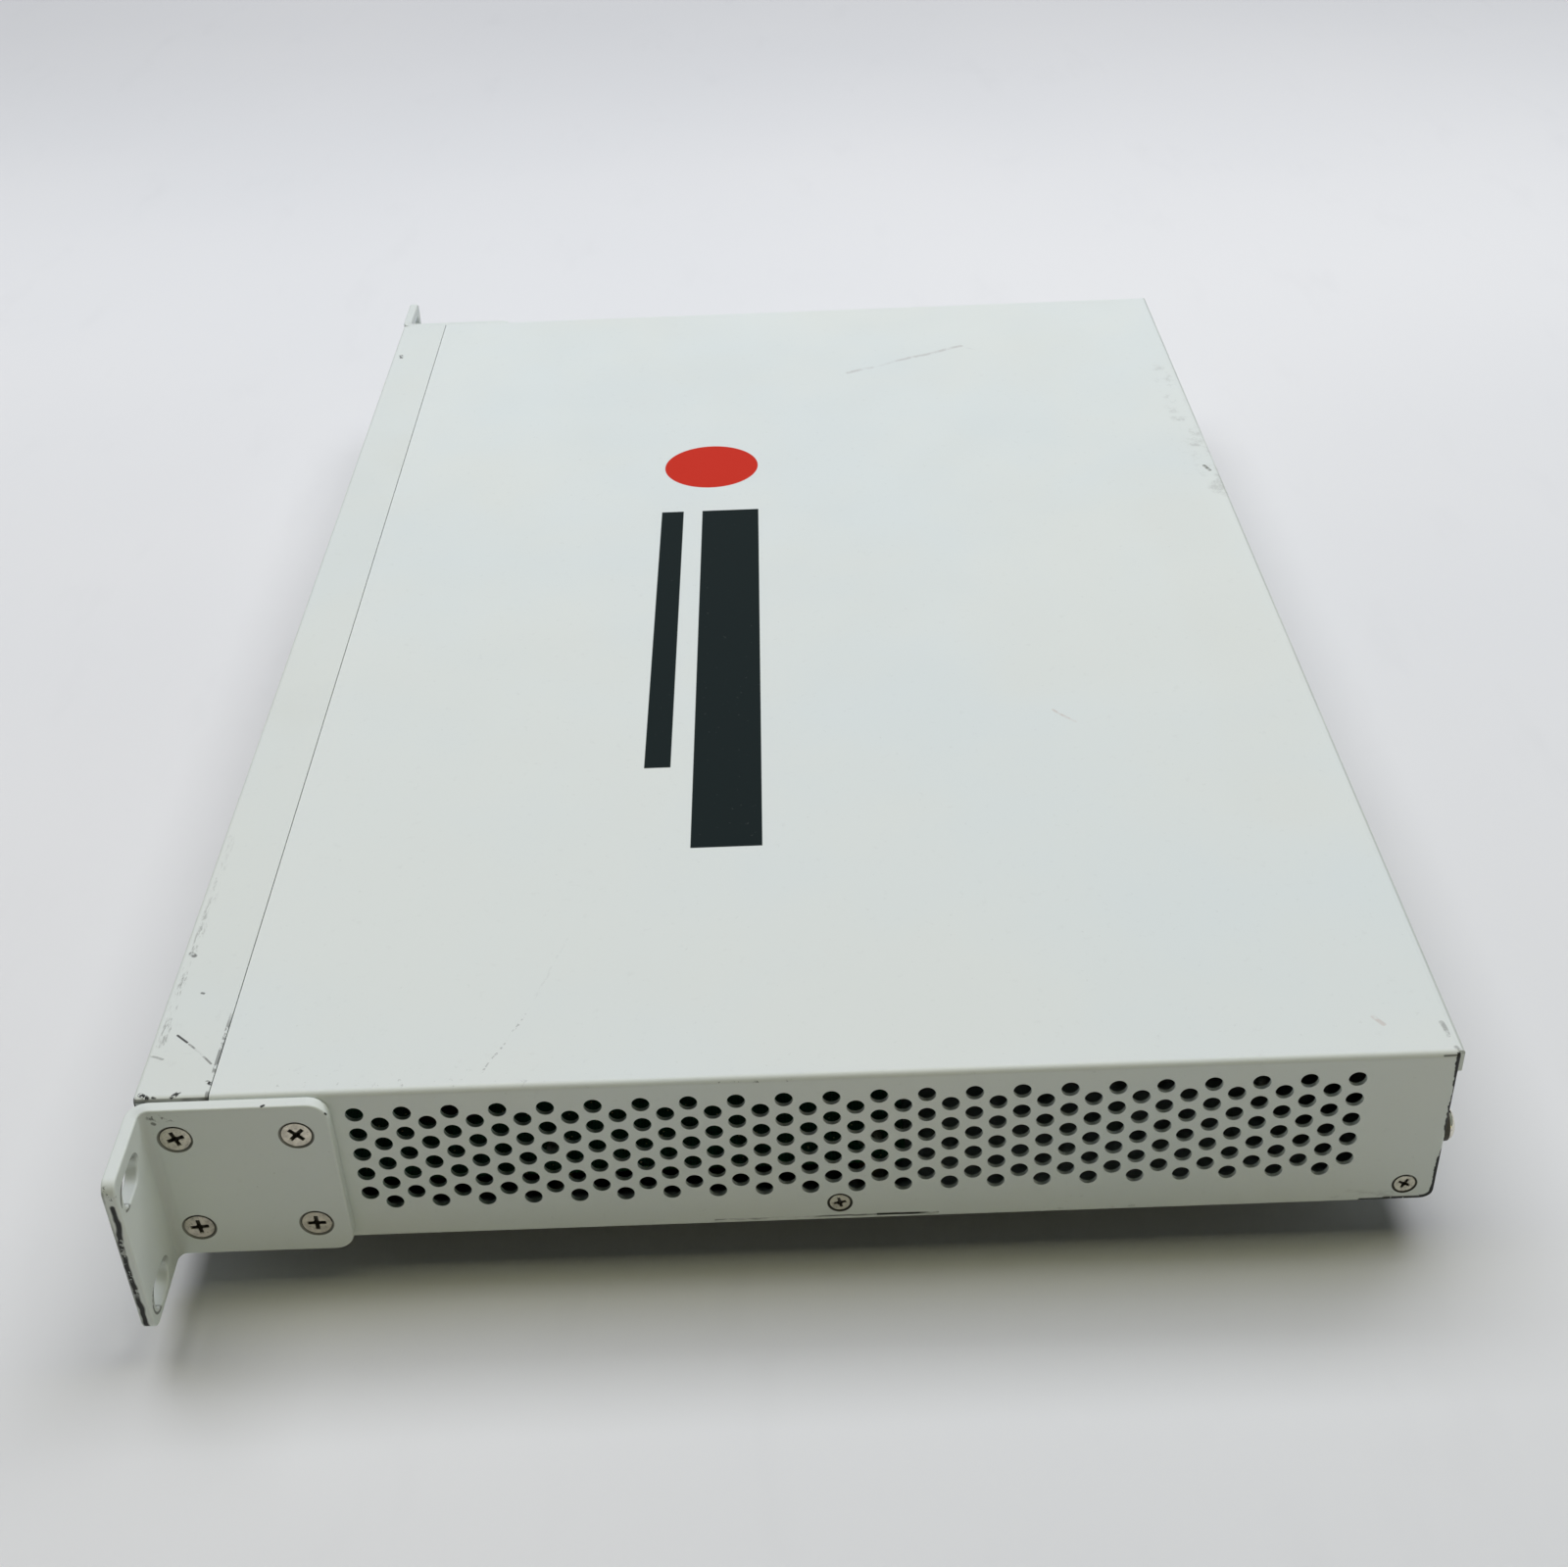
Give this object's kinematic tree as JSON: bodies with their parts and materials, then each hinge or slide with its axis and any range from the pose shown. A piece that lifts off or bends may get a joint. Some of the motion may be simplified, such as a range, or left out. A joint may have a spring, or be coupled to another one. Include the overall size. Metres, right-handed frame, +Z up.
{
  "type": "firewall appliance",
  "caption": "Rack-mount network firewall appliance, one unit high: off-white vented steel case with rack ears, front network ports, rear fans, mains inlet and switch.",
  "frame": {"origin": "on the standing surface, under the middle of the overall box", "axes": "+X to the right seen from the front and along the longest side, +Y from the front panel to the rear, +Z up"},
  "size_m": [0.4826, 0.2924, 0.054],
  "materials": {
    "base_steel": "plated sheet steel",
    "bezel_paint": "satin off-white, a little warmer than the cover",
    "black_plastic": "moulded, fine grain",
    "black_screw": "black oxide",
    "brass_parts": "turned",
    "capacitor_sleeve": "shrink sleeve",
    "chip_black": "moulded epoxy",
    "circuit_board": "green solder mask",
    "clear_plastic": "clear moulded light pipe",
    "contact_metal": "nickel-plated brass",
    "cover_paint": "fine satin powder coat, off-white",
    "ear_paint": "fine satin powder coat, off-white, chipped at the edges",
    "fan_plastic": "glass-filled moulding",
    "ferrite": "sintered ferrite",
    "gloss_black_plastic": "moulded, semi-gloss",
    "gold_contacts": "gold flash",
    "grey_plastic": "moulded",
    "guard_wire": "zinc-nickel plated wire",
    "heatsink_aluminium": "extruded, clear anodised",
    "insulating_film": "polyester film",
    "jack_shield_metal": "tin-nickel plated sheet",
    "nickel_screw": "dull nickel plate",
    "rotor_plastic": "moulded",
    "rubber": "matt black",
    "winding_tape": "yellow winding tape",
    "wire_sleeve": "wire insulation"
  },
  "bodies": {
    "chassis": {"board_capacitors": "capacitor_sleeve", "board_screws": "nickel_screw", "board_sockets": "black_plastic", "board_standoffs": "brass_parts", "chassis_base": "base_steel", "clinch_nuts": "nickel_screw", "coin_cell": "jack_shield_metal", "console_jack": "black_plastic", "cover_rear_screws": "nickel_screw", "cover_side_screws": "nickel_screw", "ear_screws": "nickel_screw", "fan_frame_1": "fan_plastic", "fan_frame_2": "fan_plastic", "fan_frame_3": "fan_plastic", "fan_screws": "black_screw", "finger_guards": "guard_wire", "foot_screws": "nickel_screw", "front_bezel": "bezel_paint", "heatsink_screws": "nickel_screw", "heatsink_springs": "nickel_screw", "inlet_pins": "contact_metal", "inlet_screws": "nickel_screw", "jack_contacts": "gold_contacts", "jack_shields": "jack_shield_metal", "lan_jacks_left": "black_plastic", "lan_jacks_right": "black_plastic", "light_pipe_holders": "black_plastic", "light_pipes": "clear_plastic", "line_magnetics": "chip_black", "main_board": "circuit_board", "mains_inlet": "black_plastic", "management_jacks": "black_plastic", "memory_module": "circuit_board", "port_inserts": "black_plastic", "processor": "chip_black", "processor_heatsink": "heatsink_aluminium", "rack_ear_left": "ear_paint", "rack_ear_right": "ear_paint", "reset_switch": "black_plastic", "rubber_feet": "rubber", "sfp_cage": "jack_shield_metal", "storage_module": "circuit_board", "supply_board": "circuit_board", "supply_capacitors": "capacitor_sleeve", "supply_choke": "ferrite", "supply_heat_spreaders": "heatsink_aluminium", "supply_insulator": "insulating_film", "switch_chip": "chip_black", "switch_heatsink": "heatsink_aluminium", "switch_housing": "black_plastic", "top_cover": "cover_paint", "transformer_core": "ferrite", "transformer_winding": "winding_tape", "usb_sockets": "jack_shield_metal", "wiring": "wire_sleeve"},
    "fan_rotor_1": {"fan_rotor_1": "rotor_plastic"},
    "fan_rotor_2": {"fan_rotor_2": "rotor_plastic"},
    "fan_rotor_3": {"fan_rotor_3": "rotor_plastic"},
    "power_rocker": {"power_rocker": "gloss_black_plastic"},
    "reset_button": {"reset_button": "grey_plastic"}
  },
  "joints": [
    {"name": "fan_spin_1", "type": "hinge", "parent": "chassis", "child": "fan_rotor_1", "pos_m": [0.06, 0.1291, 0.0314], "axis": [0, 1, 0], "continuous": true},
    {"name": "fan_spin_2", "type": "hinge", "parent": "chassis", "child": "fan_rotor_2", "pos_m": [0.105, 0.1291, 0.0314], "axis": [0, 1, 0], "continuous": true},
    {"name": "fan_spin_3", "type": "hinge", "parent": "chassis", "child": "fan_rotor_3", "pos_m": [0.15, 0.1291, 0.0314], "axis": [0, 1, 0], "continuous": true},
    {"name": "power_switch", "type": "hinge", "parent": "chassis", "child": "power_rocker", "pos_m": [-0.136, 0.1418, 0.0315], "axis": [-1, 0, 0], "range_deg": [0, 18]},
    {"name": "reset_press", "type": "slide", "parent": "chassis", "child": "reset_button", "axis": [0, 1, 0], "range_m": [0, 0.0005], "stiffness_N_per_m": 800}
  ]
}
